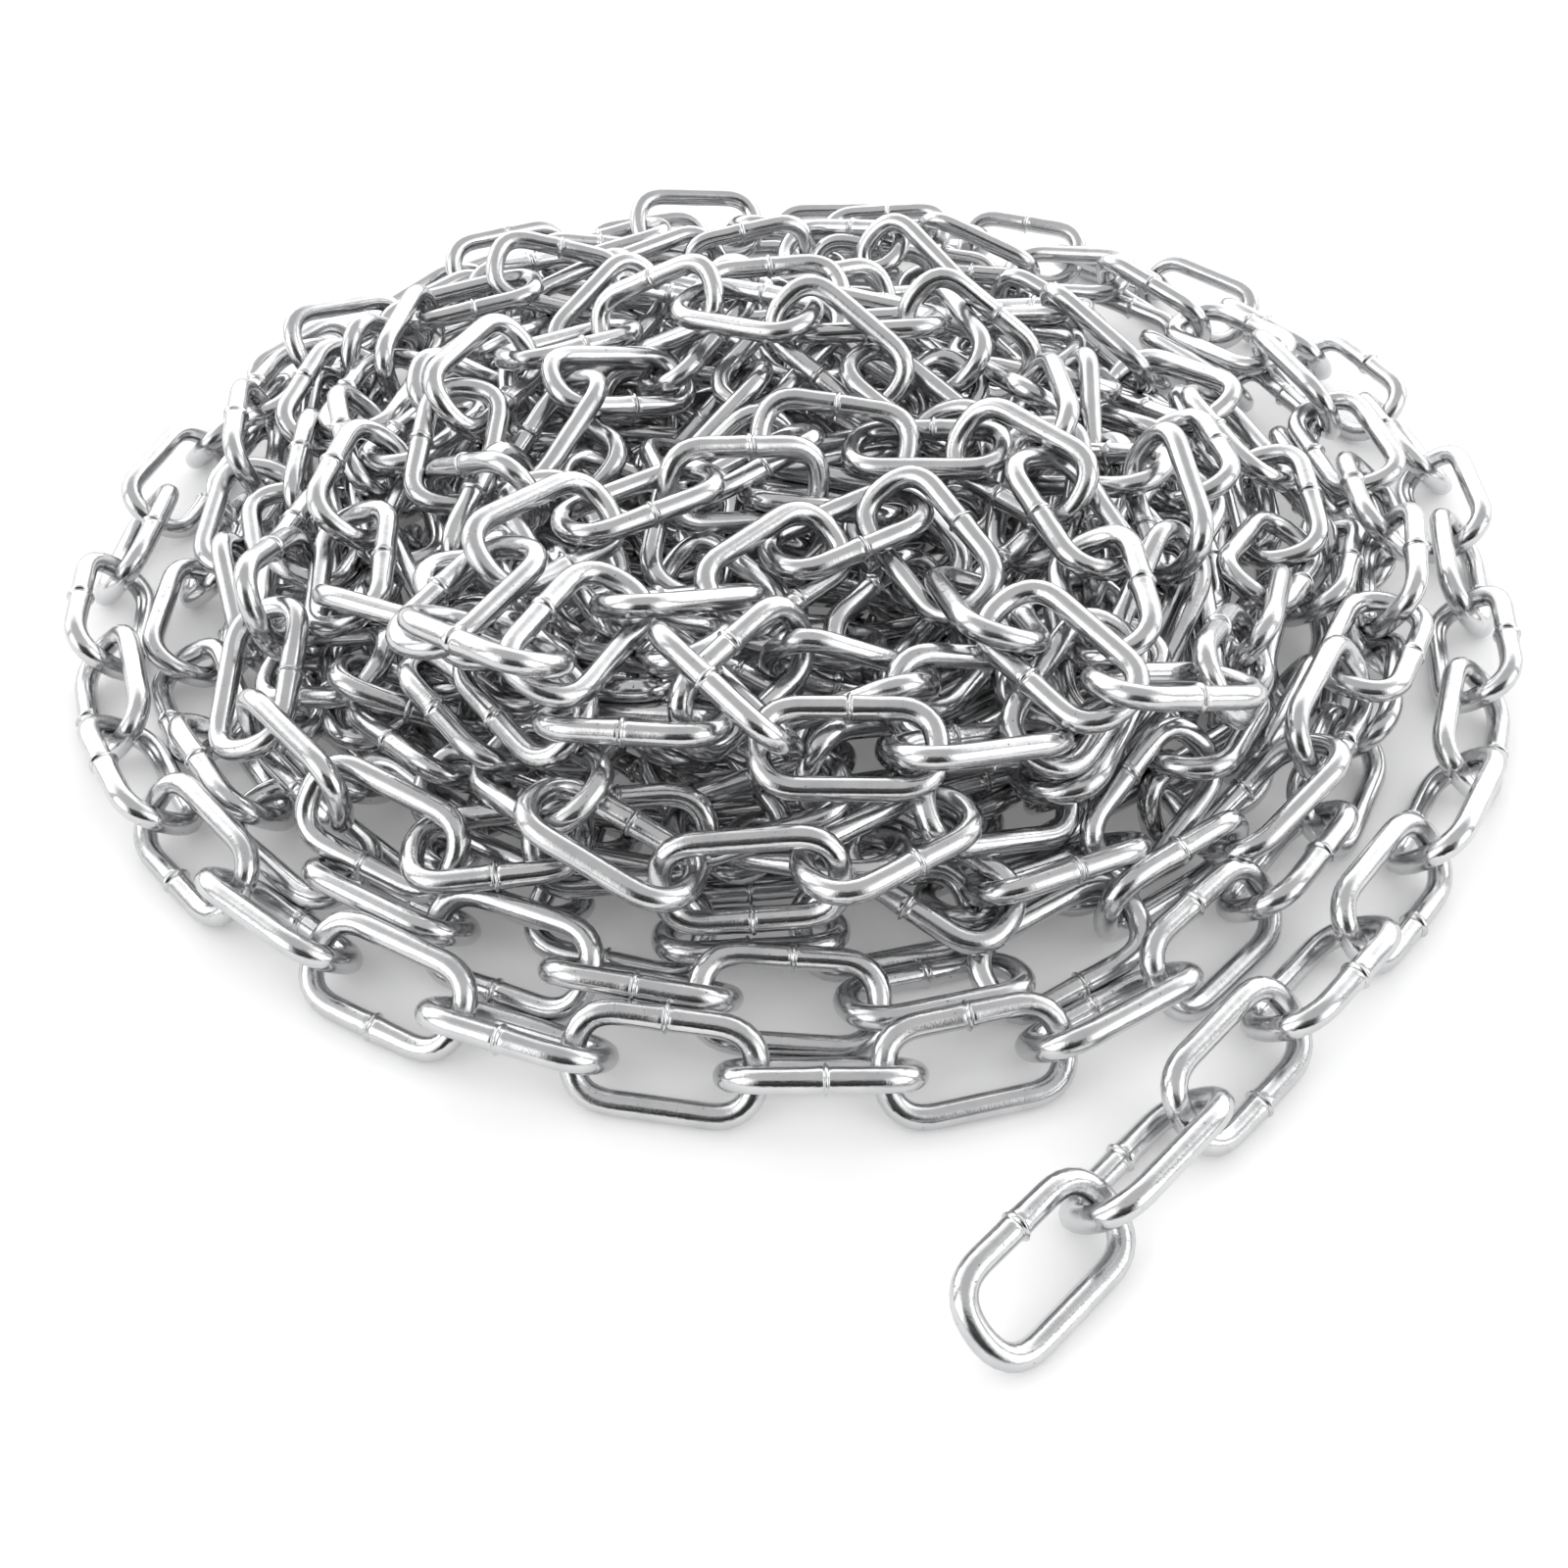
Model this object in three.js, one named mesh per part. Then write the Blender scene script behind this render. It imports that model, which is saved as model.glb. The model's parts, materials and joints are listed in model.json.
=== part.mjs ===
// A length of long-link welded steel chain, poured into a round heap with its free end trailing out.
// Millimetres, +Z up. The origin is on the floor at the middle of the heap.
import * as THREE from 'three';

// Link: round wire bent to a stadium outline.
const WIRE = 5;                       // wire diameter
const LINK_LENGTH = 40;               // outside length
const LINK_WIDTH = 22;                // outside width
const BOW_RADIUS = (LINK_WIDTH - WIRE) / 2;           // wire centreline radius of the half-round ends
const STRAIGHT = (LINK_LENGTH - LINK_WIDTH) / 2;      // half length of the straight bars
const RUNNING_GAP = 0.8;              // play between the crowns of two joined links
const PITCH = LINK_LENGTH - 2 * WIRE - RUNNING_GAP;   // spacing of joined links along the chain

// Laid strand: alternate links lean left and right of the run and stand on the floor on one bar.
const LEAN = THREE.MathUtils.degToRad(45);
const LEAN_DRIFT = THREE.MathUtils.degToRad(4);       // slow change of lean along the strand
const LEAN_DRIFT_STEP = 1.7;          // radians of drift per link
const END_LEAN = THREE.MathUtils.degToRad(35);        // the free end link lies flatter
const LINK_COUNT = 59;
const TAIL_COUNT = 10;                // links that lift with the free end
const RING_COUNT = 30;                // links of the outer turn that lies on the floor

// Piled turns of the same chain inside the ring, as one domed body.
const PILE_RADIUS = 126;
const PILE_HEIGHT = 60;
const PILE_EDGE = 17;                 // height of the rim, one strand tall
const PILE_SIDES = 36;
const PILE_STEPS = 7;

// Mesh fineness of a link: half-round bows in steps of 30 degrees, an eight-sided wire.
const BOW_STEPS = 6;
const WIRE_SIDES = 8;

const ZINC = { color: 0xc9cbce, roughness: 0.22, metalness: 1.0 };

// Floor route of the strand: the free end, once round the ring, then a second turn inside it.
const ROUTE = [
  [34, -213], [62, -184], [91, -153], [119, -122], [142, -91], [157, -56], [164, -16], [169, 24],
  [159, 70], [132, 112], [92, 146], [40, 162], [-16, 160], [-65, 144], [-109, 112], [-142, 70],
  [-160, 18], [-159, -34], [-141, -80], [-108, -119], [-66, -147], [-23, -161], [26, -162],
  [62, -149], [93, -121], [118, -87], [134, -46], [140, 0], [136, 42], [119, 80], [92, 109],
  [55, 130], [14, 139], [-28, 137], [-68, 121], [-100, 95], [-125, 61], [-138, 22], [-140, -18],
];

function zincMaterial() {
  return new THREE.MeshStandardMaterial(ZINC);
}

// A torus opened into a stadium: each half ring becomes a half-round bow, set apart by the straight bars.
function linkGeometry() {
  const rings = 2 * (BOW_STEPS + 1);
  const spread = (BOW_STEPS + 1) / BOW_STEPS;
  const geometry = new THREE.TorusGeometry(BOW_RADIUS, WIRE / 2, WIRE_SIDES, rings);
  const position = geometry.getAttribute('position');
  const point = new THREE.Vector3();
  for (let i = 0; i < position.count; i += 1) {
    point.fromBufferAttribute(position, i);
    const end = Math.sign(point.x);
    const radius = Math.hypot(point.x, point.y);
    const angle = Math.atan2(point.y, end * point.x) * spread;
    const along = end * (STRAIGHT + radius * Math.cos(angle));
    position.setXYZ(i, along, radius * Math.sin(angle), point.z);
  }
  geometry.computeVertexNormals();
  return geometry;
}

// Joints between links: points on the route one pitch apart, measured straight across.
function strandJoints(curve, count) {
  const fine = curve.getSpacedPoints(4000);
  const joints = [fine[0]];
  let at = 0;
  while (joints.length <= count) {
    const last = joints[joints.length - 1];
    while (fine[at].distanceTo(last) < PITCH) at += 1;
    const overshoot = fine[at].distanceTo(last) - PITCH;
    const step = fine[at].distanceTo(fine[at - 1]);
    joints.push(fine[at].clone().lerp(fine[at - 1], overshoot / step));
  }
  return joints;
}

function linkLean(index) {
  if (index === 0) return END_LEAN;
  const side = index % 2 === 0 ? 1 : -1;
  return side * (LEAN + LEAN_DRIFT * Math.sin(index * LEAN_DRIFT_STEP));
}

function linkName(index) {
  const number = String(index + 1).padStart(2, '0');
  if (index === 0) return 'end_link';
  if (index < TAIL_COUNT) return `tail_link_${number}`;
  if (index < TAIL_COUNT + RING_COUNT) return `ring_link_${number}`;
  return `inner_turn_link_${number}`;
}

// One link between two joints of the strand, leaning so that its lower bar meets the floor.
function placeLink(geometry, index, from, to) {
  const lean = linkLean(index);
  const along = to.clone().sub(from).normalize();
  const up = new THREE.Vector3(0, 0, 1);
  const left = up.clone().cross(along);
  const across = left.multiplyScalar(Math.cos(lean)).addScaledVector(up, Math.sin(lean));
  const normal = along.clone().cross(across);
  const link = new THREE.Mesh(geometry, zincMaterial());
  link.name = linkName(index);
  link.position.addVectors(from, to).multiplyScalar(0.5);
  link.position.z = BOW_RADIUS * Math.abs(Math.sin(lean)) + WIRE / 2;
  link.quaternion.setFromRotationMatrix(new THREE.Matrix4().makeBasis(along, across, normal));
  return link;
}

function layStrand() {
  const strand = new THREE.Group();
  const points = ROUTE.map(([x, y]) => new THREE.Vector3(x, y, 0));
  const curve = new THREE.CatmullRomCurve3(points, false, 'centripetal');
  const joints = strandJoints(curve, LINK_COUNT);
  const geometry = linkGeometry();
  for (let i = 0; i < LINK_COUNT; i += 1) {
    strand.add(placeLink(geometry, i, joints[i], joints[i + 1]));
  }
  return strand;
}

// The rest of the length, coiled and heaped: a dome with a flat foot and a rim one strand high.
function pileMesh() {
  const profile = [new THREE.Vector2(0, 0), new THREE.Vector2(PILE_RADIUS, 0)];
  for (let i = 0; i <= PILE_STEPS; i += 1) {
    const turn = (i / PILE_STEPS) * Math.PI / 2;
    const radius = PILE_RADIUS * Math.cos(turn);
    profile.push(new THREE.Vector2(radius, PILE_EDGE + (PILE_HEIGHT - PILE_EDGE) * Math.sin(turn)));
  }
  profile[profile.length - 1].x = 0;
  const geometry = new THREE.LatheGeometry(profile, PILE_SIDES);
  geometry.rotateX(Math.PI / 2);
  const pile = new THREE.Mesh(geometry, zincMaterial());
  pile.name = 'piled_turns';
  return pile;
}

const chain = new THREE.Group();
chain.add(layStrand(), pileMesh());

export default chain;
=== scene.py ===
# A heap of zinc-plated welded long-link chain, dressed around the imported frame. Metres, +Z up.
import json
import math

import bpy
import numpy as np
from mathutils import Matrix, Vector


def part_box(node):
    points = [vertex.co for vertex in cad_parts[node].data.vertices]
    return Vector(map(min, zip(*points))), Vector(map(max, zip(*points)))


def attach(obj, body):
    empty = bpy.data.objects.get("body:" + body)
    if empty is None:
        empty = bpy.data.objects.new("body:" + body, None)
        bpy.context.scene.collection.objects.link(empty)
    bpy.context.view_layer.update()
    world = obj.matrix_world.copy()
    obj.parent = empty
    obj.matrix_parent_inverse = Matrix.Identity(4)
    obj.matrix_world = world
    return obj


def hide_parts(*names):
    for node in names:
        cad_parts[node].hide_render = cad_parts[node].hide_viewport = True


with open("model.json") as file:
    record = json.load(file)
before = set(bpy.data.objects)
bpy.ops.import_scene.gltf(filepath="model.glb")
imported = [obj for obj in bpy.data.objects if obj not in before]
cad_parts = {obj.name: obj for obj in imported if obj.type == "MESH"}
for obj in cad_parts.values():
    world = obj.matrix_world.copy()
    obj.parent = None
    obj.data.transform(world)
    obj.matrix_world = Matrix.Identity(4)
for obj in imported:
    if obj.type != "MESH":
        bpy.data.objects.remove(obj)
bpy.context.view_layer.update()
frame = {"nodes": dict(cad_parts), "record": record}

SEED = 31
UP = np.array([0.0, 0.0, 1.0])
SMALL, TINY, LEAST = 1e-9, 1e-12, 1e-20         # floors that keep a division by nothing harmless


# ---------------------------------------------------------------- the links as the frame holds them

def mesh_points(node):
    """Vertices of a CAD node, in the row frame."""
    data = frame["nodes"][node].data
    points = np.empty(len(data.vertices) * 3, np.float32)
    data.vertices.foreach_get("co", points)
    return points.reshape(-1, 3).astype(float)


def link_frame(node):
    """Centre, rotation (columns: along, across, normal) and outside size of a CAD link."""
    points = np.unique(mesh_points(node).round(6), axis=0)
    centre = (points.min(0) + points.max(0)) / 2
    _, axes = np.linalg.eigh(np.cov((points - centre).T))
    along, across = axes[:, 2], axes[:, 1]
    turn = np.stack([along, across, np.cross(along, across)], 1)
    local = (points - centre) @ turn
    centre = centre + turn @ ((local.min(0) + local.max(0)) / 2)
    return centre, turn, local.max(0) - local.min(0)


def chain_order(node):
    number = node.rsplit("_", 1)[1]
    return int(number) if number.isdigit() else 1


LINK_NODES = sorted((n for n in frame["nodes"] if "link" in n), key=chain_order)
PILE_NODE = "piled_turns"
BODY_OF = {n: b for b, ns in frame["record"]["behaviour"]["bodies"].items() for n in ns}
FRAMES = [link_frame(n) for n in LINK_NODES]
LINK_LENGTH, LINK_WIDTH, WIRE = np.max([size for _, _, size in FRAMES], axis=0)
HALF_LENGTH = (LINK_LENGTH - WIRE) / 2          # wire centreline, half extents of a link
HALF_WIDTH = (LINK_WIDTH - WIRE) / 2
PITCH = float(np.linalg.norm(FRAMES[2][0] - FRAMES[1][0]))
PILE_LOW, PILE_HIGH = (np.array(c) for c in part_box(PILE_NODE))
PILE_RADIUS = (PILE_HIGH[0] - PILE_LOW[0]) / 2


# ---------------------------------------------------------------- camera

CAMERA_AT = (0.0, -0.375, 0.284)
CAMERA_PITCH = math.radians(43.5)
SENSOR = 36.0
FOCAL = 42.75


def add_camera():
    data = bpy.data.cameras.new("camera")
    data.sensor_width = SENSOR
    data.lens = FOCAL
    camera = bpy.data.objects.new("camera", data)
    camera.location = CAMERA_AT
    camera.rotation_euler = (math.pi / 2 - CAMERA_PITCH, 0, 0)
    bpy.context.scene.collection.objects.link(camera)
    bpy.context.scene.camera = camera


# ---------------------------------------------------------------- laying the buried length of chain

HEAP_LINKS = 400                # about this many: the length of the laid route sets the exact number
TOP_LINKS = 27                  # of them, about this many in the last strand across the top
LEAN = math.radians(45)
LEAN_SCATTER = math.radians(15)
STRAND = 2.7 * WIRE             # two strands nearer than this cross or touch
RISE = 2.8 * WIRE               # a strand laid over another one stands this much higher
SLOPE = 0.7                     # steepest climb of a laid strand
TURN = 0.8                      # sharpest bend between two links as they are laid, radians
TOP_TURN = 1.3 * TURN           # likewise in the last strand
HOMING, HOMING_REACH = 0.9, 6 * WIRE    # how hard, and from how far off, a strand steers to its turn
LOOK_AHEAD = 3                  # links over which a strand starts to climb
JUST_LAID = 2                   # the last links laid, which the next one doesn't climb over
CROSSING_SAMPLES = 5            # points on a link at which a crossing is looked for
THIRD_TURN, THIRD_REACH = 25, 1.20      # links and reach, in pile radii, of the third floor turn,
INWARD, INWARD_REACH = 100, 1.13        # then of the spiral of the bottom layer,
OUTWARD, OUTWARD_REACH = 64, 1.12       # of the spiral over it, and then loops all over the heap
INWARD_SHARE = 0.98             # of the disc's area that the inward spiral covers
OUTWARD_HOLE, OUTWARD_SHARE = 0.05, 0.95        # of it that the outward one leaves open, and covers
LOOP, LOOP_SHIFT = 12, 2.4      # links in each of those loops, and how far round the next one lies
LOOP_RADIUS, LOOP_SHRINK = 0.60, 0.27   # of the first loop, and how much less the last one's is
LOOP_MIDDLE = (0.0, -0.07)      # in pile radii: the heap is fullest a little towards the front
LOOP_INSET = 0.06               # by this much a loop passes the middle, in pile radii
QUICK_WOBBLE, SLOW_WOBBLE = (0.07, 0.9), (0.05, 0.37)   # of the spirals: pile radii, radians a link
LOOP_WOBBLE, SHIFT_WOBBLE = (0.06, 0.19), (0.08, 0.13)  # likewise of a loop's radius and place
PHASES = 5                      # random angles: one for each wobble and one for the first loop's place
TOP_RUN = [                     # the last strand across the top, in pile radii
    (-0.64, -0.52), (-0.48, -0.62), (-0.22, -0.67), (-0.06, -0.44), (0.10, -0.30),
    (0.26, -0.34), (0.36, -0.50), (0.52, -0.68), (0.70, -0.62), (0.84, -0.42),
    (0.95, -0.15), (0.92, 0.16), (0.75, 0.40), (0.50, 0.62), (0.22, 0.80),
]


def wave(wobble, index, phase):
    size, rate = wobble
    return size * math.sin(rate * index + phase)


def turn_centre_radius(index, count, phase):
    """Centre and radius of the turn that link `index` of `count` is laid along."""
    wobble = wave(QUICK_WOBBLE, index, phase[0]) + wave(SLOW_WOBBLE, index, phase[4])
    if index < THIRD_TURN:
        return np.zeros(2), PILE_RADIUS * THIRD_REACH
    index -= THIRD_TURN
    if index < INWARD:
        reach = INWARD_REACH * math.sqrt(1 - INWARD_SHARE * index / INWARD)
        return np.zeros(2), PILE_RADIUS * (reach + wobble)
    index -= INWARD
    if index < OUTWARD:
        reach = OUTWARD_REACH * math.sqrt(OUTWARD_HOLE + OUTWARD_SHARE * index / OUTWARD)
        return np.zeros(2), PILE_RADIUS * (reach + wobble)
    index -= OUTWARD
    share = index / (count - THIRD_TURN - INWARD - OUTWARD)
    radius = LOOP_RADIUS + wave(LOOP_WOBBLE, index, phase[1]) - LOOP_SHRINK * share
    offset = radius - LOOP_INSET + wave(SHIFT_WOBBLE, index, phase[2])
    angle = phase[3] + LOOP_SHIFT * (index // LOOP)
    centre = np.array([math.cos(angle), math.sin(angle)]) * offset + LOOP_MIDDLE
    return PILE_RADIUS * centre, PILE_RADIUS * radius


def steer(point, heading, want, limit=TURN):
    """The next joint and heading of a strand that turns towards the heading `want`."""
    bend = (want - heading + math.pi) % (2 * math.pi) - math.pi
    heading += max(-limit, min(limit, bend))
    return point + PITCH * np.array([math.cos(heading), math.sin(heading)]), heading


def plan_route(start, heading, count, rng):
    """Joint points of the heaped length, seen from above."""
    phase = rng.uniform(0, 2 * math.pi, PHASES)
    points = [start]
    for index in range(count):
        centre, radius = turn_centre_radius(index, count, phase)
        offset = points[-1] - centre
        error = (np.hypot(*offset) - radius) / HOMING_REACH
        want = math.atan2(offset[1], offset[0]) + math.pi / 2 + HOMING * max(-1, min(1, error))
        point, heading = steer(points[-1], heading, want)
        points.append(point)
    for goal in np.array(TOP_RUN) * PILE_RADIUS:
        for _ in range(math.ceil(np.hypot(*(goal - points[-1])) / PITCH)):
            gap = goal - points[-1]
            point, heading = steer(points[-1], heading, math.atan2(gap[1], gap[0]), TOP_TURN)
            points.append(point)
    return np.array(points)


def gap_from_above(a, b, starts, ends):
    """Smallest horizontal distances from the strand piece a-b to many others."""
    runs = ends - starts
    lengths = (runs ** 2).sum(1)
    best = np.full(len(starts), np.inf)
    for share in np.linspace(0, 1, CROSSING_SAMPLES):
        point = a + (b - a) * share
        along = np.clip(((point - starts) * runs).sum(1) / lengths, 0, 1)
        best = np.minimum(best, np.hypot(*(point - starts - runs * along[:, None]).T))
    return best


def lay_heights(points, starts, ends, heights):
    """Height of each joint: on the floor, or over the strands it crosses if the climb allows it."""
    floor = heights[-1]
    climb = SLOPE * PITCH
    laid = [floor]
    for index in range(len(points) - 1):
        need = max(floor, laid[-1] - climb)
        for ahead in range(min(LOOK_AHEAD, len(points) - 1 - index)):
            a, b = points[index + ahead], points[index + ahead + 1]
            under = gap_from_above(a, b, starts[:-JUST_LAID], ends[:-JUST_LAID]) < STRAND
            if under.any():
                need = max(need, heights[:-JUST_LAID][under].max() + RISE - ahead * climb)
        laid.append(min(need, laid[-1] + climb))
        starts = np.vstack([starts, points[index]])
        ends = np.vstack([ends, points[index + 1]])
        heights = np.append(heights, laid[-1])
    return np.array(laid)


def leaning(along, lean):
    """Rotation of a link that runs along `along` and leans by `lean` from lying flat."""
    left = np.cross(UP, along)
    left /= np.linalg.norm(left)
    across = left * math.cos(lean) + np.cross(along, left) * math.sin(lean)
    return np.stack([along, across, np.cross(along, across)], 1)


def lean_side(along, across):
    """+1 or -1: which way a link leans, whichever way round its frame is held."""
    left = np.cross(UP, along)
    return np.sign((across @ left) * (across @ np.cross(along, left)))


def even_steps(points, step, parts=20):
    """Points one step apart along a polyline, to within one of the `parts` that a piece is cut in."""
    shares = np.linspace(0, 1, parts, endpoint=False)[None, :, None]
    fine = (points[:-1, None] + (points[1:] - points[:-1])[:, None] * shares).reshape(-1, 3)
    kept = [fine[0]]
    for point in fine:
        if np.linalg.norm(point - kept[-1]) >= step:
            kept.append(point)
    return np.array(kept)


def lay_heap():
    """Centres and rotations of the heaped links, loosely laid in one run from the frame's last link."""
    rng = np.random.default_rng(SEED)
    centres = np.array([centre for centre, _, _ in FRAMES])
    last = centres[-1] - centres[-2]
    last /= np.linalg.norm(last)
    start = centres[-1] + last * PITCH / 2
    plan = plan_route(start[:2], math.atan2(last[1], last[0]), HEAP_LINKS - TOP_LINKS, rng)
    runs = np.array([turn[:, 0] for _, turn, _ in FRAMES]) * PITCH / 2
    heights = lay_heights(plan, (centres - runs)[:, :2], (centres + runs)[:, :2], centres[:, 2])
    route = even_steps(np.column_stack([plan, heights]), PITCH)
    along = route[1:] - route[:-1]
    along /= np.linalg.norm(along, axis=1)[:, None]
    sides = -lean_side(*FRAMES[-1][1].T[:2]) * (-1) ** np.arange(len(along))
    leans = sides * (LEAN + rng.uniform(-LEAN_SCATTER, LEAN_SCATTER, len(along)))
    turns = np.array([leaning(a, lean) for a, lean in zip(along, leans)])
    return (route[1:] + route[:-1]) / 2, turns


# ---------------------------------------------------------------- settling the heap under gravity

BOW_POINTS = 5                  # corners of the wire's centreline in each bow, for contact
FALL_STEPS = 300
REST_STEPS = 90
SWEEPS = 8                      # contact sweeps in each step
GRAVITY = 0.006 * WIRE          # per step, per step
REST_GRAVITY = 0.002 * WIRE
FALL_SPEED = 0.11 * WIRE        # most a link moves in one step
DRAG, REST_DRAG = 0.93, 0.8     # share of its speed that a link keeps from step to step
PUSH = 0.2 * WIRE               # most a contact corrects in one sweep
GRIP = 0.35                     # friction
OVERSHOOT = 1.4                 # extra correction, so that few sweeps are enough
WALL = 1.26 * PILE_RADIUS       # a heaped link's wire is pushed back in from beyond this radius
PARALLEL = 1e-3                 # squared sine of the angle below which pieces count as parallel
NEAR = 0.25 * WIRE              # pieces of wire less far apart than this may touch within a step
FRESH_STEPS = 8                 # steps after which the pieces that may come near are looked up anew


def turn_by(vectors):
    """Rotation matrices for rotation vectors."""
    angles = np.linalg.norm(vectors, axis=1)
    x, y, z = (vectors / np.maximum(angles, TINY)[:, None]).T
    nil = np.zeros_like(x)
    skew = np.stack([nil, -z, y, z, nil, -x, -y, x, nil], 1).reshape(-1, 3, 3)
    sines, versines = np.sin(angles)[:, None, None], (1 - np.cos(angles))[:, None, None]
    return np.eye(3) + sines * skew + versines * (skew @ skew)


def contact_loop():
    """The wire's centreline as a closed polygon, in a link's own frame."""
    angles = np.linspace(-math.pi / 2, math.pi / 2, BOW_POINTS)
    bow = np.stack([np.cos(angles), np.sin(angles), 0 * angles], 1) * HALF_WIDTH
    bow[:, 0] += HALF_LENGTH - HALF_WIDTH
    return np.concatenate([bow, -bow])


def nearest_points(p, run_p, q, run_q):
    """Nearest points of many pairs of line pieces, and how far apart they are."""
    gap = p - q
    a, e = (run_p * run_p).sum(1), (run_q * run_q).sum(1)
    b, c, f = (run_p * run_q).sum(1), (run_p * gap).sum(1), (run_q * gap).sum(1)
    spread = a * e - b * b
    crossing = np.clip((b * f - c * e) / np.maximum(spread, LEAST), 0, 1)
    s = np.where(spread > PARALLEL * a * e, crossing, 0.5)
    t = (b * s + f) / e
    s = np.where(t < 0, np.clip(-c / a, 0, 1), np.where(t > 1, np.clip((b - c) / a, 0, 1), s))
    t = np.clip(t, 0, 1)
    on_p, on_q = p + run_p * s[:, None], q + run_q * t[:, None]
    return on_p, on_q, np.linalg.norm(on_p - on_q, axis=1)


class Heap:
    """Rigid links that push each other apart, settled by position-based steps.

    The steps run out before all overlaps are gone: a few links still press into each other.
    """

    def __init__(self, centres, turns, free):
        self.centres, self.turns, self.free = centres.copy(), turns.copy(), free.astype(float)
        self.loop = contact_loop()
        self.reach = np.linalg.norm(np.roll(self.loop, -1, 0) - self.loop, axis=1)
        middles = (np.roll(self.loop, -1, 0) + self.loop) / 2
        squares = (self.reach[:, None] * middles ** 2).sum(0) / self.reach.sum()
        self.lightness = 1 / (squares.sum() - squares)
        self.speeds, self.spins = np.zeros_like(centres), np.zeros_like(centres)

    def corners(self):
        return self.centres[:, None] + np.einsum("nij,vj->nvi", self.turns, self.loop)

    def pieces(self, pairs):
        i, s, j, t = pairs
        corners = self.corners()
        runs = np.roll(corners, -1, 1) - corners
        return nearest_points(corners[i, s], runs[i, s], corners[j, t], runs[j, t])

    def keep_within(self, pairs, gap):
        near = self.pieces(pairs)[2] < WIRE + gap
        return tuple(part[near] for part in pairs)

    def find_pairs(self, gap):
        """Pairs of wire pieces of different links that are, or may soon be, close."""
        corners = self.corners()
        middles = (corners + np.roll(corners, -1, 1)) / 2
        apart = ((self.centres[:, None] - self.centres[None]) ** 2).sum(2)
        i, j = np.nonzero(np.triu(apart < (LINK_LENGTH + gap) ** 2, 1))
        moving = self.free[i] + self.free[j] > 0
        i, j = i[moving], j[moving]
        apart = ((middles[i][:, :, None] - middles[j][:, None]) ** 2).sum(3)
        limit = (self.reach[:, None] + self.reach[None]) / 2 + WIRE + gap
        pair, s, t = np.nonzero(apart < limit ** 2)
        self.pairs = self.keep_within((i[pair], s, j[pair], t), gap)

    def contacts(self):
        """Touching points: bodies i and j, a point on each, the push direction and the depth."""
        i, _, j, _ = self.close
        on_i, on_j, apart = self.pieces(self.close)
        normal = (on_i - on_j) / np.maximum(apart, SMALL)[:, None]
        touch = apart < WIRE
        rows = [(i[touch], j[touch], on_i[touch], on_j[touch], normal[touch], WIRE - apart[touch])]
        corners = self.corners()
        ground = len(self.centres)
        sunk = (corners[:, :, 2] < WIRE / 2) & (self.free[:, None] > 0)
        rows.append(self.held_by(ground, corners, sunk, UP, WIRE / 2 - corners[:, :, 2]))
        out = np.hypot(corners[:, :, 0], corners[:, :, 1])
        inward = -corners * [1, 1, 0] / np.maximum(out, WIRE)[:, :, None]
        beyond = (out > WALL) & (self.free[:, None] > 0)
        rows.append(self.held_by(ground, corners, beyond, inward, out - WALL))
        return [np.concatenate(column) for column in zip(*rows)]

    @staticmethod
    def held_by(ground, corners, mask, normal, depth):
        body, _ = np.nonzero(mask)
        normal = np.broadcast_to(normal, corners.shape)[mask]
        return body, np.full(len(body), ground), corners[mask], corners[mask], normal, depth[mask]

    def sweep(self, before, turns_before):
        """One pass over all contacts at once: push apart, then hold back sliding."""
        i, j, on_i, on_j, normal, depth = self.contacts()
        if not len(i):
            return
        total = len(self.centres) + 1
        free = np.append(self.free, 0)
        centres = np.vstack([self.centres, np.zeros(3)])
        ease = np.einsum("nij,j,nkj->nik", self.turns, self.lightness, self.turns)
        ease = np.concatenate([ease * self.free[:, None, None], np.zeros((1, 3, 3))])
        shared = np.bincount(i, minlength=total) + np.bincount(j, minlength=total)
        arm_i, arm_j = on_i - centres[i], on_j - centres[j]

        def push(direction, amount):
            twist_i = np.einsum("nij,nj->ni", ease[i], np.cross(arm_i, direction))
            twist_j = np.einsum("nij,nj->ni", ease[j], np.cross(arm_j, direction))
            give = shared[i] * (free[i] + (np.cross(arm_i, direction) * twist_i).sum(1))
            give += shared[j] * (free[j] + (np.cross(arm_j, direction) * twist_j).sum(1))
            size = amount(np.maximum(give, SMALL))
            shift = add_up(i, size * free[i], direction) - add_up(j, size * free[j], direction)
            return size, shift, add_up(i, size, twist_i) - add_up(j, size, twist_j)

        def add_up(body, size, vectors):
            return np.stack([np.bincount(body, size * column, total) for column in vectors.T], 1)

        load, shift, twist = push(normal, lambda give: OVERSHOOT * np.minimum(depth, PUSH) / give)
        back = np.concatenate([turns_before @ self.turns.transpose(0, 2, 1), np.eye(3)[None]])
        before = np.vstack([before, np.zeros(3)])
        was_i = before[i] + np.einsum("nij,nj->ni", back[i], arm_i)
        was_j = before[j] + np.einsum("nij,nj->ni", back[j], arm_j)
        slide = (on_i - was_i) - (on_j - was_j)
        slide -= (slide * normal).sum(1)[:, None] * normal
        slid = np.linalg.norm(slide, axis=1)
        _, rub, rub_twist = push(
            -slide / np.maximum(slid, TINY)[:, None],
            lambda give: np.minimum(GRIP * load, slid / give),
        )
        self.centres += (shift + rub)[:-1]
        self.turns = turn_by((twist + rub_twist)[:-1]) @ self.turns

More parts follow.
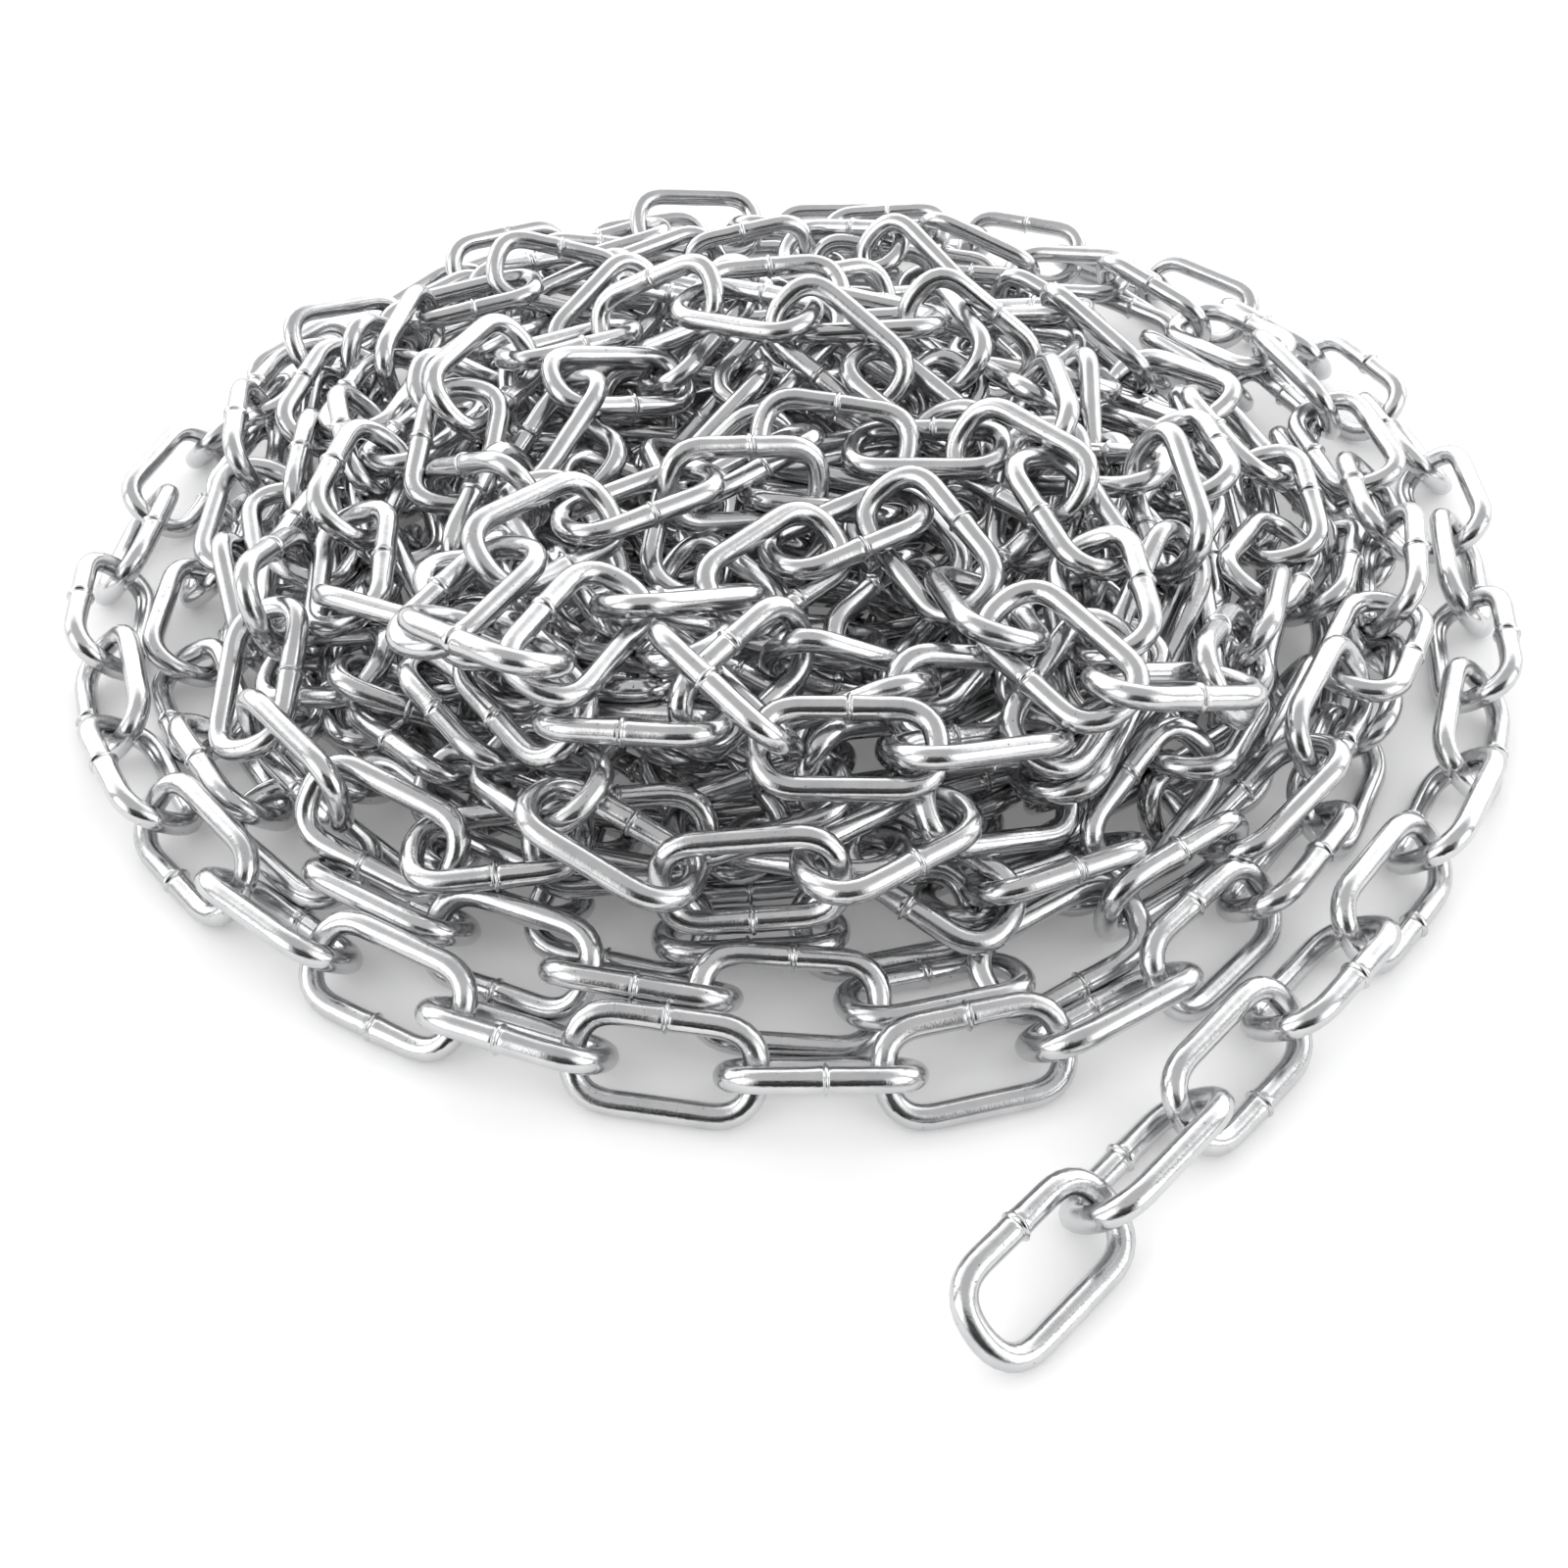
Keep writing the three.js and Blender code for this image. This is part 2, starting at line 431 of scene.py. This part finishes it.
    def step(self, gravity, drag):
        """Let the free links fall a little, then push them off whatever they have sunk into."""
        free = self.free[:, None]
        before, turns_before = self.centres.copy(), self.turns.copy()
        self.speeds = (self.speeds - gravity * UP) * free
        speed = np.linalg.norm(self.speeds, axis=1)[:, None]
        self.speeds *= np.minimum(1, FALL_SPEED / np.maximum(speed, TINY))
        self.centres += self.speeds
        self.turns = turn_by(self.spins * free) @ self.turns
        self.close = self.keep_within(self.pairs, NEAR)
        for _ in range(SWEEPS):
            self.sweep(before, turns_before)
        self.speeds = drag * (self.centres - before)
        turned = self.turns @ turns_before.transpose(0, 2, 1)
        spins = [turned[:, i, j] - turned[:, j, i] for i, j in ((2, 1), (0, 2), (1, 0))]
        spins = np.stack(spins, 1) * drag / 2
        spin = np.linalg.norm(spins, axis=1)[:, None]
        self.spins = spins * np.minimum(1, FALL_SPEED / HALF_LENGTH / np.maximum(spin, TINY))

    def settle(self, steps, gravity, drag):
        for index in range(steps):
            if index % FRESH_STEPS == 0:
                self.find_pairs(WIRE)
            self.step(gravity, drag)
        left, _, right = np.linalg.svd(self.turns)
        self.turns = left @ right


def settled_heap():
    """The heaped links after a fixed number of steps, while the frame's links are held still."""
    centres, turns = lay_heap()
    held = len(FRAMES)
    everything = Heap(
        np.concatenate([[centre for centre, _, _ in FRAMES], centres]),
        np.concatenate([[turn for _, turn, _ in FRAMES], turns]),
        np.arange(held + len(centres)) >= held,
    )
    everything.settle(FALL_STEPS, GRAVITY, DRAG)
    everything.settle(REST_STEPS, REST_GRAVITY, REST_DRAG)
    return everything.centres[held:], everything.turns[held:]


# ---------------------------------------------------------------- the look of a link

WIRE_SIDES = 20
QUARTER_STEPS = 8               # stations in each quarter turn of the wire
SQUARENESS = 0.45               # 0 for half-round bows, more for squarer shoulders
BAR_STATIONS = (-0.8, -0.4, 0.0, 0.4, 0.8)          # plain bar, as shares of its half length
WELD_STATIONS = (                                   # welded bar, in fifths of the wire
    -5.5, -4.2, -3.2, -2.4, -1.7, -1.2, -0.85, -0.65, -0.5, -0.38, -0.25, -0.1,
    0.1, 0.25, 0.38, 0.5, 0.65, 0.85, 1.2, 1.7, 2.4, 3.2, 4.2, 5.5,
)
BEAD_WIDTH = 0.38
BEAD_HEIGHT, GROOVE = 0.15, 0.05                    # of the wire's radius
THICK_SIDE, THIN_SIDE = 0.10, 0.03                  # upset of the two butted ends
KINK = 0.05                                         # how far the two ends miss each other
GROOVE_AT, GROOVE_WIDTH = 1.7 * BEAD_WIDTH, 0.2     # beside the bead; lengths are in fifths of the wire
UPSET_REACH, KINK_REACH, KINK_STEP = 2.0, 3.0, 0.3
LOPSIDED, LUMPY, UPSET_SCATTER = 0.5, 0.3, 0.3      # how the welds differ from each other
WELD_SCATTER = 0.8                                  # how far a weld lies off the middle of its bar
FIFTHS = 5
BEND_PARTS = 800                                    # steps that a bow's curve is summed up in
FAR = 99.0                                          # no weld near
LOOKS, LOOK_STEP = 6, 5                             # slightly different weldings, and their order
GRAIN = "grain"                                     # mesh attribute that the zinc reads
GRAIN_AROUND = 6.0                                  # how fine the drawn wire's grain is round it,
GRAIN_ALONG, GRAIN_ACROSS = 0.30, 0.13              # and along and across a link, per wire
GRAIN_STEP = 3.7                                    # keeps one link's grain unlike the next one's


def weld_profile(x, angle, luck):
    """Radius factor of the welded bar at x from the weld: a bead between two upset ends."""
    lopsided = LOPSIDED * luck[0] * math.cos(angle - 3 * luck[1])
    uneven = 1 + lopsided + LUMPY * math.sin(3 * angle + 9 * luck[2])
    bead = BEAD_HEIGHT * uneven * math.exp(-((x / BEAD_WIDTH) ** 4))
    groove = GROOVE * math.exp(-(((abs(x) - GROOVE_AT) / GROOVE_WIDTH) ** 2))
    end = THICK_SIDE if x < 0 else THIN_SIDE
    upset = end * (1 + UPSET_SCATTER * luck[3]) * math.exp(-abs(x / UPSET_REACH) ** 1.5)
    return 1 + bead + upset - groove


def weld_shift(x, luck):
    """Sideways miss of the wire at x from the weld, opposite on its two sides."""
    fade = math.exp(-((x / KINK_REACH) ** 2))
    return KINK * WIRE / 2 * luck[1] * math.tanh(x / KINK_STEP) * fade


def quarter_turn():
    """A bend from heading +x to heading +y, half a link wide: points and headings along it."""
    share = (np.arange(BEND_PARTS) + 0.5) / BEND_PARTS
    heading = math.pi / 2 * (share - SQUARENESS * np.sin(2 * math.pi * share) / (2 * math.pi))
    steps = np.column_stack([np.cos(heading), np.sin(heading)])
    points = np.vstack([np.zeros(2), np.cumsum(steps, 0)])
    points *= HALF_WIDTH / points[-1]
    kept = np.linspace(0, BEND_PARTS, QUARTER_STEPS + 1).astype(int)
    return points[kept], np.append(heading, math.pi / 2)[kept]


def link_stations(luck):
    """Stations along the wire: point, outward direction and distance from the weld."""
    bar = HALF_LENGTH - HALF_WIDTH
    bend, headings = quarter_turn()
    stations = []
    for x in WELD_STATIONS:
        place = (x + WELD_SCATTER * luck[2]) * WIRE / FIFTHS
        stations.append((place, -HALF_WIDTH - weld_shift(x, luck), 0.0, -1.0, x))
    starts = ((bar, -HALF_WIDTH), (HALF_LENGTH, 0), (-bar, HALF_WIDTH), (-HALF_LENGTH, 0))
    for quarter, (x, y) in enumerate(starts):
        if quarter == 2:
            stations += [(-share * bar, HALF_WIDTH, 0.0, 1.0, FAR) for share in BAR_STATIONS]
        cos, sin = ((1, 0), (0, 1), (-1, 0), (0, -1))[quarter]
        first = quarter % 2
        for (dx, dy), heading in zip(bend[first:], headings[first:]):
            out_x, out_y = math.sin(heading), -math.cos(heading)
            stations.append((x + cos * dx - sin * dy, y + sin * dx + cos * dy,
                             cos * out_x - sin * out_y, sin * out_x + cos * out_y, FAR))
    return stations


def link_points(luck):
    """Surface points of one link, as rings of the wire round its centreline, and their grain."""
    stations = link_stations(luck)
    points, grain = [], []
    for x, y, out_x, out_y, from_weld in stations:
        for side in range(WIRE_SIDES):
            angle = 2 * math.pi * side / WIRE_SIDES
            radius = WIRE / 2 * weld_profile(from_weld, angle, luck)
            reach = radius * math.cos(angle)
            points.append((x + reach * out_x, y + reach * out_y, radius * math.sin(angle)))
            around = GRAIN_AROUND * math.cos(angle), GRAIN_AROUND * math.sin(angle)
            grain.append((*around, (x * GRAIN_ALONG + y * GRAIN_ACROSS) / WIRE))
    return np.array(points), np.array(grain), len(stations)


def link_faces(rings):
    """Quads between the points of one ring of the wire and the next, all the way round a link."""
    ring, side = np.meshgrid(np.arange(rings), np.arange(WIRE_SIDES), indexing="ij")
    here, there = ring * WIRE_SIDES, (ring + 1) % rings * WIRE_SIDES
    following = (side + 1) % WIRE_SIDES
    faces = np.stack([here + side, there + side, there + following, here + following], 2)
    return faces.reshape(-1, 4)


def link_looks():
    """The differently welded links that the chain is made of."""
    rng = np.random.default_rng(SEED + 1)
    return [link_points(rng.uniform(-1, 1, 4)) for _ in range(LOOKS)]


def chain_mesh(name, places, looks, first=0):
    """One mesh of whole links at the given places; `first` sets which look each one takes."""
    faces = link_faces(looks[0][2])
    points, grains, polygons, count = [], [], [], 0
    for number, (centre, turn) in enumerate(places, first):
        shape, grain, _ = looks[number * LOOK_STEP % LOOKS]
        flip = -1 if number // 2 % 2 else 1
        points.append(centre + (shape * [flip, flip, 1]) @ turn.T)
        grains.append(grain + [0, 0, GRAIN_STEP * number])
        polygons.append(faces + count)
        count += len(shape)
    mesh = bpy.data.meshes.new(name)
    mesh.from_pydata(np.concatenate(points).tolist(), [], np.concatenate(polygons).tolist())
    grain = mesh.attributes.new(GRAIN, "FLOAT_VECTOR", "POINT")
    grain.data.foreach_set("vector", np.concatenate(grains).ravel())
    mesh.shade_smooth()
    mesh.update()
    piece = bpy.data.objects.new(name, mesh)
    bpy.context.scene.collection.objects.link(piece)
    return piece


# ---------------------------------------------------------------- materials

WHITE = (1.0, 1.0, 1.0)
DULL_ZINC, CLEAR_ZINC = (0.55, 0.555, 0.565), (0.65, 0.65, 0.655)
ROUGHNESS = (0.21, 0.12)        # of the dull and the clear zinc
PIT_SHADE, PIT_STOPS = (0.35, 0.35, 0.35), (0.73, 0.79)
CLOUD_SCALE, PIT_SCALE, GRIT_SCALE, DENT_SCALE = 140.0, 1500.0, 2600.0, 420.0    # patches in a metre
PIT_DETAIL, BUMP_DETAIL = 1.0, 2.0
MIDDLING = (0.3, 0.7)           # noise values between which a colour or a roughness changes over
MIX_FIRST, MIX_SECOND, MIX_RESULT = 6, 7, 2     # a mix node's colour sockets, after those it hides
GRIT, DENTS, LINES = (0.30, 8e-5), (0.18, 2.5e-4), (0.35, 6e-5)     # strength and depth of the bumps
FLOOR_SIZE, FLOOR_ROUGHNESS, FLOOR_SHINE, FLOOR_PATCHES = 6, 0.9, 0.1, 3.0
FLOOR_GREYS = (0.93,) * 3, (0.95,) * 3
FLOOR_GLOW = 0.14               # the studio floor is a faintly lit table, so that shadows stay pale


def noise(tree, place, scale, detail=3.0):
    made = tree.nodes.new("ShaderNodeTexNoise")
    made.inputs["Scale"].default_value = scale
    made.inputs["Detail"].default_value = detail
    tree.links.new(place, made.inputs["Vector"])
    return made.outputs["Fac"]


def ramp(tree, source, low, high, stops=MIDDLING):
    made = tree.nodes.new("ShaderNodeValToRGB")
    for element, at, colour in zip(made.color_ramp.elements, stops, (low, high)):
        element.position = at
        element.color = (*colour, 1)
    tree.links.new(source, made.inputs["Fac"])
    return made.outputs["Color"]


def spread(tree, source, low, high, start=MIDDLING[0], end=MIDDLING[1]):
    made = tree.nodes.new("ShaderNodeMapRange")
    for key, value in (("From Min", start), ("From Max", end), ("To Min", low), ("To Max", high)):
        made.inputs[key].default_value = value
    tree.links.new(source, made.inputs["Value"])
    return made.outputs["Result"]


def mix_colours(tree, blend, share, first, second):
    made = tree.nodes.new("ShaderNodeMix")
    made.data_type = "RGBA"
    made.blend_type = blend
    if isinstance(share, float):
        made.inputs["Factor"].default_value = share
    else:
        tree.links.new(share, made.inputs["Factor"])
    tree.links.new(first, made.inputs[MIX_FIRST])
    tree.links.new(second, made.inputs[MIX_SECOND])
    return made.outputs[MIX_RESULT]


def bump(tree, height, size, under=None):
    """A surface normal roughened by `height`, over the roughness `under` it."""
    made = tree.nodes.new("ShaderNodeBump")
    made.inputs["Strength"].default_value, made.inputs["Distance"].default_value = size
    tree.links.new(height, made.inputs["Height"])
    if under:
        tree.links.new(under, made.inputs["Normal"])
    return made.outputs["Normal"]


def zinc_material():
    """Bright zinc plating: glossy metal, faintly clouded and pitted, over the drawn wire's grain."""
    material = bpy.data.materials.new("bright_zinc")
    material.use_nodes = True
    tree = material.node_tree
    shader = tree.nodes["Principled BSDF"]
    shader.inputs["Metallic"].default_value = 1.0
    place = tree.nodes.new("ShaderNodeTexCoord").outputs["Object"]
    drawn = tree.nodes.new("ShaderNodeAttribute")
    drawn.attribute_name = GRAIN
    cloud = noise(tree, place, CLOUD_SCALE)
    colour = ramp(tree, cloud, DULL_ZINC, CLEAR_ZINC)
    pits = ramp(tree, noise(tree, place, PIT_SCALE, PIT_DETAIL), WHITE, PIT_SHADE, PIT_STOPS)
    tree.links.new(mix_colours(tree, "MULTIPLY", 1.0, colour, pits), shader.inputs["Base Color"])
    tree.links.new(spread(tree, cloud, *ROUGHNESS), shader.inputs["Roughness"])
    normal = bump(tree, noise(tree, place, GRIT_SCALE, BUMP_DETAIL), GRIT)
    normal = bump(tree, noise(tree, place, DENT_SCALE, BUMP_DETAIL), DENTS, normal)
    normal = bump(tree, noise(tree, drawn.outputs["Vector"], 1.0, BUMP_DETAIL), LINES, normal)
    tree.links.new(normal, shader.inputs["Normal"])
    return material


def floor_material():
    material = bpy.data.materials.new("pale_floor")
    material.use_nodes = True
    tree = material.node_tree
    shader = tree.nodes["Principled BSDF"]
    shader.inputs["Roughness"].default_value = FLOOR_ROUGHNESS
    shader.inputs["Specular IOR Level"].default_value = FLOOR_SHINE
    place = tree.nodes.new("ShaderNodeTexCoord").outputs["Object"]
    colour = ramp(tree, noise(tree, place, FLOOR_PATCHES), *FLOOR_GREYS)
    tree.links.new(colour, shader.inputs["Base Color"])
    shader.inputs["Emission Color"].default_value = (*WHITE, 1)
    shader.inputs["Emission Strength"].default_value = FLOOR_GLOW
    return material


# ---------------------------------------------------------------- the pieces

RUN = 11                        # heaped links joined in one piece


def dress(piece, material, body, slot, *nodes):
    """Give a piece its material and its body in the frame, and hide the CAD nodes it replaces. The slot
    is not used.
    """
    piece.data.materials.append(material)
    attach(piece, body)
    if nodes:
        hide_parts(*nodes)


def add_chain():
    zinc = zinc_material()
    looks = link_looks()
    for number, (name, (centre, turn, _)) in enumerate(zip(LINK_NODES, FRAMES)):
        piece = chain_mesh("fine_" + name, [(centre, turn)], looks, number)
        dress(piece, zinc, BODY_OF[name], "zinc_plated_wire", name)
    places = list(zip(*settled_heap()))
    for start in range(0, len(places), RUN):
        name = f"heaped_run_{start // RUN + 1:02d}"
        piece = chain_mesh(name, places[start:start + RUN], looks, len(FRAMES) + start)
        dress(piece, zinc, BODY_OF[PILE_NODE], "piled_chain", *([PILE_NODE] if start == 0 else []))


# ---------------------------------------------------------------- floor and light

SOFTBOX, CEILING, DARK = 2.15, 0.72, 0.03       # brightness of the surroundings
SIDE_LEVELS = (                         # height of a direction, brightness: all round but the front
    (0.00, DARK), (0.03, DARK), (0.09, SOFTBOX), (0.62, SOFTBOX), (0.86, CEILING), (1.00, CEILING),
)
FRONT_LEVELS = (                        # towards the viewer: dark, with one faint light in it
    (0.00, DARK), (0.42, DARK), (0.47, 0.14), (0.54, 0.14), (0.60, DARK),
    (0.70, 0.08), (0.84, CEILING), (1.00, CEILING),
)
FRONT_EDGE = (0.68, 0.92)               # cosines from straight ahead between which the front fades in
GAP_EDGE = (0.04, 0.16)                 # likewise for the thin gaps between the side and back lights
GAP_LEVEL = 0.25
GAP_TOP = (0.62, 0.86)                  # heights of a direction between which the gaps close


def add_floor():
    bpy.ops.mesh.primitive_plane_add(size=FLOOR_SIZE)
    floor = bpy.context.object
    floor.name = "floor"
    floor.data.materials.append(floor_material())


def math_node(tree, operation, first, second=None, third=None, clamp=False):
    made = tree.nodes.new("ShaderNodeMath")
    made.operation = operation
    made.use_clamp = clamp
    for socket, value in zip(made.inputs, (first, second, third)):
        if isinstance(value, (int, float)):
            socket.default_value = value
        elif value is not None:
            tree.links.new(value, socket)
    return made.outputs[0]


def level_ramp(tree, height, levels):
    """Brightness of the surroundings by height, as a share of the softboxes'."""
    made = tree.nodes.new("ShaderNodeValToRGB")
    elements = made.color_ramp.elements
    while len(elements) < len(levels):
        elements.new(0.5)
    for element, (at, level) in zip(elements, levels):
        element.position = at
        element.color = (level / SOFTBOX,) * 3 + (1,)
    tree.links.new(height, made.inputs["Fac"])
    return made.outputs["Color"]


def add_studio():
    """Softboxes all round, a grey ceiling, a dark front where the viewer stands and a dark horizon.

    The metal reflects them. Seen directly, the backdrop is plain white like the floor.
    """
    world = bpy.data.worlds.new("studio")
    bpy.context.scene.world = world
    world.use_nodes = True
    tree = world.node_tree
    background = tree.nodes["Background"]
    background.inputs["Strength"].default_value = SOFTBOX
    split = tree.nodes.new("ShaderNodeSeparateXYZ")
    tree.links.new(tree.nodes.new("ShaderNodeTexCoord").outputs["Generated"], split.inputs[0])
    _, depth, height = split.outputs
    square = math_node(tree, "MULTIPLY", height, height)
    across = math_node(tree, "SQRT", math_node(tree, "MULTIPLY_ADD", square, -1.0, 1.0, clamp=True))
    ahead = math_node(tree, "DIVIDE", math_node(tree, "MULTIPLY", depth, -1.0), across)
    front = spread(tree, ahead, 0.0, 1.0, *FRONT_EDGE)
    beside = spread(tree, math_node(tree, "ABSOLUTE", ahead), GAP_LEVEL, 1.0, *GAP_EDGE)
    closed = spread(tree, height, 0.0, 1.0, *GAP_TOP)
    beside = math_node(tree, "MAXIMUM", beside, closed)
    side = mix_colours(tree, "MULTIPLY", 1.0, level_ramp(tree, height, SIDE_LEVELS), beside)
    sky = mix_colours(tree, "MIX", front, side, level_ramp(tree, height, FRONT_LEVELS))
    backdrop = tree.nodes.new("ShaderNodeRGB").outputs[0]
    backdrop.default_value = (*WHITE, 1)
    direct = tree.nodes.new("ShaderNodeLightPath").outputs["Is Camera Ray"]
    tree.links.new(mix_colours(tree, "MIX", direct, sky, backdrop), background.inputs["Color"])


add_camera()
add_chain()
add_floor()
add_studio()
bpy.context.scene.view_settings.view_transform = "Standard"
